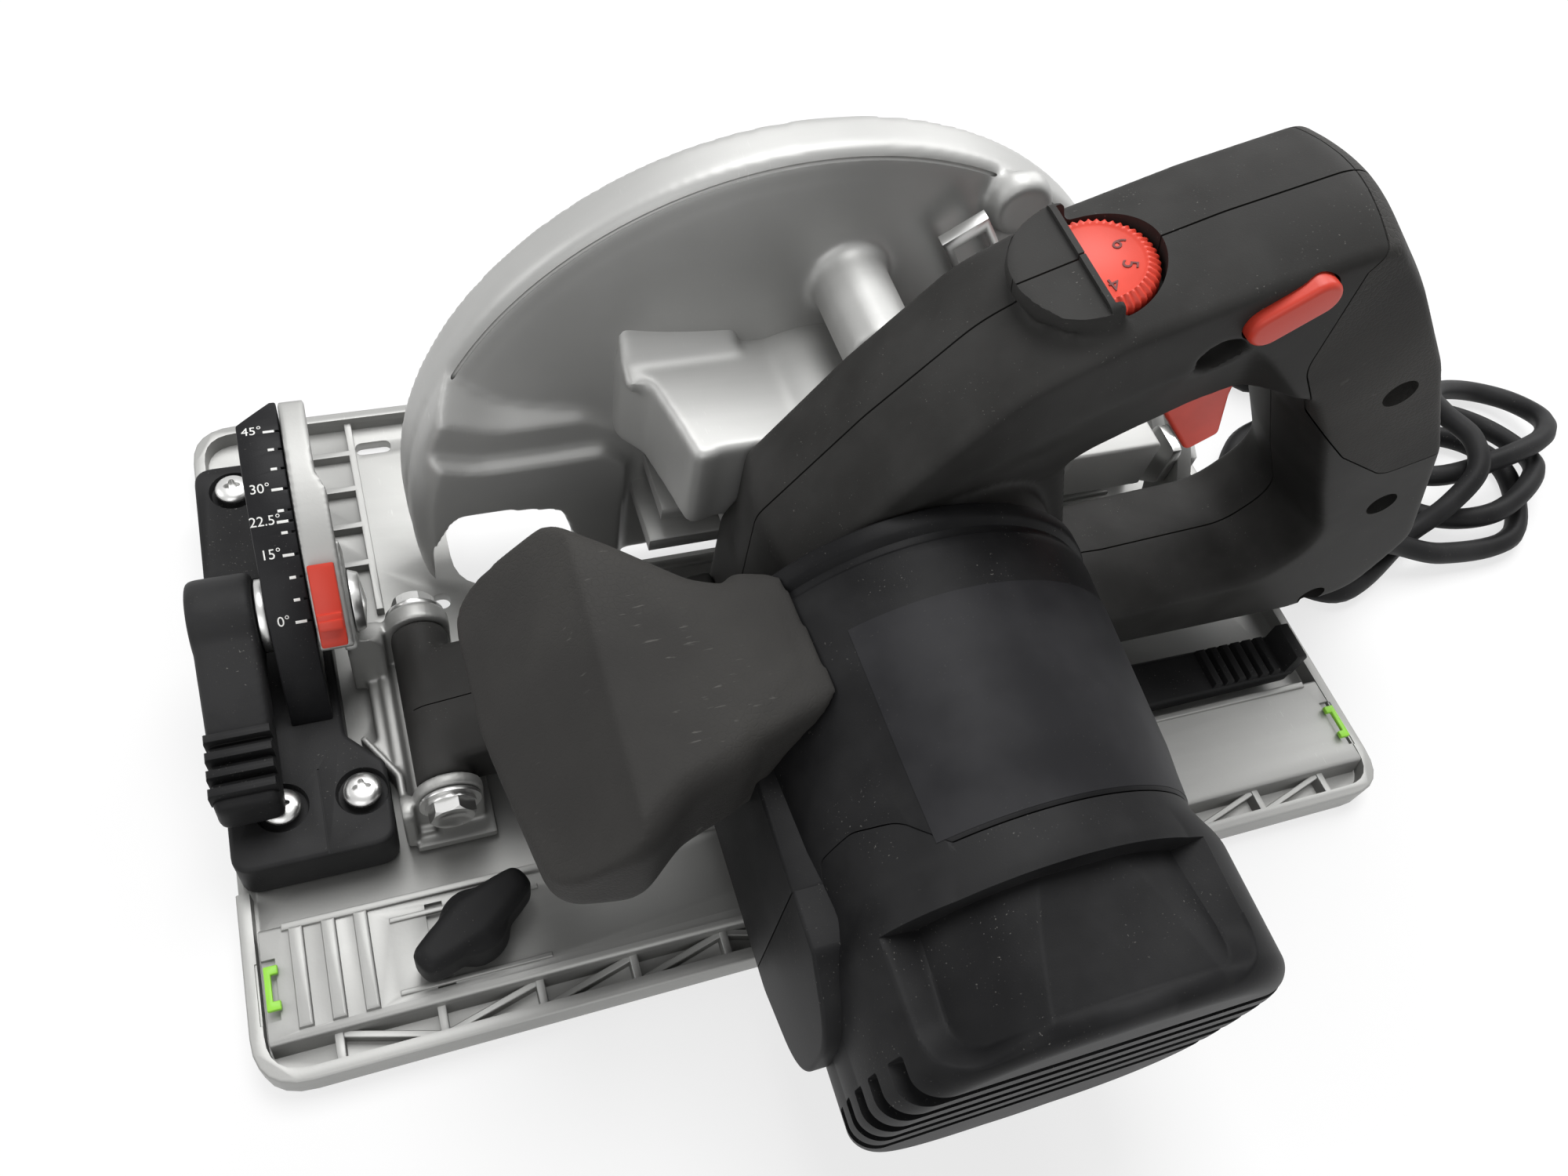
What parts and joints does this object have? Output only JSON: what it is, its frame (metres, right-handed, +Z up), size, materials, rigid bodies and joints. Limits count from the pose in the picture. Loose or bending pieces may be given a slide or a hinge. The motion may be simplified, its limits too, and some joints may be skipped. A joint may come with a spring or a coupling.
{
  "type": "circular saw",
  "caption": "Hand-held circular saw with D-handle, front grip, bevel quadrant, depth setting and ribbed sole; mains cord part coiled, no blade fitted.",
  "frame": {"origin": "middle of the sole's flat underside, which rests on the work", "axes": "+X to the rear of the saw (cord end), -X to the front (cutting direction), +Y to the guard side, -Y to the motor side, +Z up from the sole"},
  "size_m": [0.4455, 0.288, 0.1663],
  "materials": {
    "die_cast": "satin die-cast alloy",
    "guard_cast": "satin cast alloy with machined faces",
    "bright_steel": "zinc-plated",
    "dark_steel": "plain steel",
    "housing_plastic": "satin black moulding",
    "soft_grip": "soft grained overmould",
    "block_plastic": "semi-matt black moulding",
    "control_red": "satin red-orange moulding",
    "clip_green": "green nylon",
    "copper": "varnished copper",
    "laminated_iron": "laminated iron",
    "cord_rubber": "matt black rubber"
  },
  "bodies": {
    "sole": {"base_plate": "die_cast", "glide_clip_front": "clip_green", "glide_clip_rear": "clip_green", "front_block": "block_plastic", "block_screw_1": "bright_steel", "block_screw_2": "bright_steel", "block_screw_3": "bright_steel", "bevel_scale": "block_plastic", "bevel_quadrant": "die_cast", "rear_quadrant": "die_cast"},
    "guide_screw": {"fence_screw": "block_plastic"},
    "tilt_frame": {"bevel_bracket": "die_cast", "bevel_pointer": "control_red", "clamp_bolt": "bright_steel", "clamp_washer": "bright_steel", "pivot_bolt_near": "bright_steel", "pivot_bolt_far": "bright_steel", "depth_guide": "bright_steel"},
    "bevel_clamp": {"bevel_lever": "block_plastic"},
    "saw_body": {"upper_guard": "guard_cast", "dust_spout": "guard_cast", "gear_housing": "guard_cast", "stator": "laminated_iron", "motor_housing": "housing_plastic", "end_cap": "housing_plastic", "handle_near_half": "housing_plastic", "handle_far_half": "housing_plastic", "grip_cover": "soft_grip", "handle_screw_1": "dark_steel", "handle_screw_2": "dark_steel", "handle_screw_3": "dark_steel", "front_handle": "soft_grip", "hinge_arm": "housing_plastic", "switch_body": "housing_plastic", "depth_bolt": "bright_steel", "depth_nut": "bright_steel", "strain_relief": "cord_rubber", "cord": "cord_rubber", "cord_tail": "cord_rubber", "cord_coil": "cord_rubber", "mains_plug": "cord_rubber"},
    "spindle_assembly": {"spindle": "bright_steel", "spindle_gear": "dark_steel", "inner_flange": "bright_steel", "outer_flange": "bright_steel", "arbor_bolt": "dark_steel"},
    "motor_rotor": {"motor_shaft": "bright_steel", "armature": "copper", "commutator": "copper", "fan": "housing_plastic"},
    "swing_guard": {"lower_guard": "guard_cast"},
    "switch_trigger": {"trigger": "control_red"},
    "lock_off": {"lock_button": "control_red"},
    "dial": {"speed_dial": "control_red"},
    "shaft_lock": {"spindle_lock": "block_plastic"},
    "depth_clamp": {"depth_lever": "block_plastic"}
  },
  "joints": [
    {"name": "bevel_tilt", "type": "hinge", "parent": "sole", "child": "tilt_frame", "pos_m": [0, 0.045, 0], "axis": [-1, 0, 0], "range_deg": [0, 45]},
    {"name": "depth_swing", "type": "hinge", "parent": "tilt_frame", "child": "saw_body", "pos_m": [-0.1, 0, 0.02], "axis": [0, -1, 0], "range_deg": [0, 33]},
    {"name": "bevel_clamp_turn", "type": "hinge", "parent": "tilt_frame", "child": "bevel_clamp", "pos_m": [-0.14, 0.0099, 0.03274], "axis": [-1, 0, 0], "range_deg": [0, 40]},
    {"name": "guide_screw_turn", "type": "hinge", "parent": "sole", "child": "guide_screw", "pos_m": [-0.1, -0.071, 0.01], "axis": [0, 0, 1], "continuous": true},
    {"name": "spindle_spin", "type": "hinge", "parent": "saw_body", "child": "spindle_assembly", "pos_m": [0.006, 0, 0.03], "axis": [0, 1, 0], "continuous": true},
    {"name": "motor_spin", "type": "hinge", "parent": "saw_body", "child": "motor_rotor", "pos_m": [0.004, 0, 0.058], "axis": [0, 1, 0], "continuous": true},
    {"name": "guard_swing", "type": "hinge", "parent": "saw_body", "child": "swing_guard", "pos_m": [0.006, 0, 0.03], "axis": [0, -1, 0], "range_deg": [-137, 15]},
    {"name": "trigger_pull", "type": "hinge", "parent": "saw_body", "child": "switch_trigger", "pos_m": [0.06, -0.02, 0.126], "axis": [0, -1, 0], "range_deg": [0, 10], "stiffness_Nm_per_rad": 0.5},
    {"name": "lock_press", "type": "slide", "parent": "saw_body", "child": "lock_off", "axis": [0, 1, 0], "range_m": [0, 0.0025], "stiffness_N_per_m": 300},
    {"name": "dial_turn", "type": "hinge", "parent": "saw_body", "child": "dial", "pos_m": [0.0325, -0.02, 0.1466], "axis": [-0.2924, 0, 0.9563], "range_deg": [0, 270]},
    {"name": "shaft_lock_press", "type": "slide", "parent": "saw_body", "child": "shaft_lock", "axis": [1, 0, 0], "range_m": [0, 0.003], "stiffness_N_per_m": 400},
    {"name": "depth_clamp_turn", "type": "hinge", "parent": "saw_body", "child": "depth_clamp", "pos_m": [0.06476, 0, 0.01108], "axis": [0, -1, 0], "range_deg": [0, 35]}
  ],
  "couplings": [
    {"joint": "motor_spin", "follows": "spindle_spin", "ratio": -3.5}
  ]
}
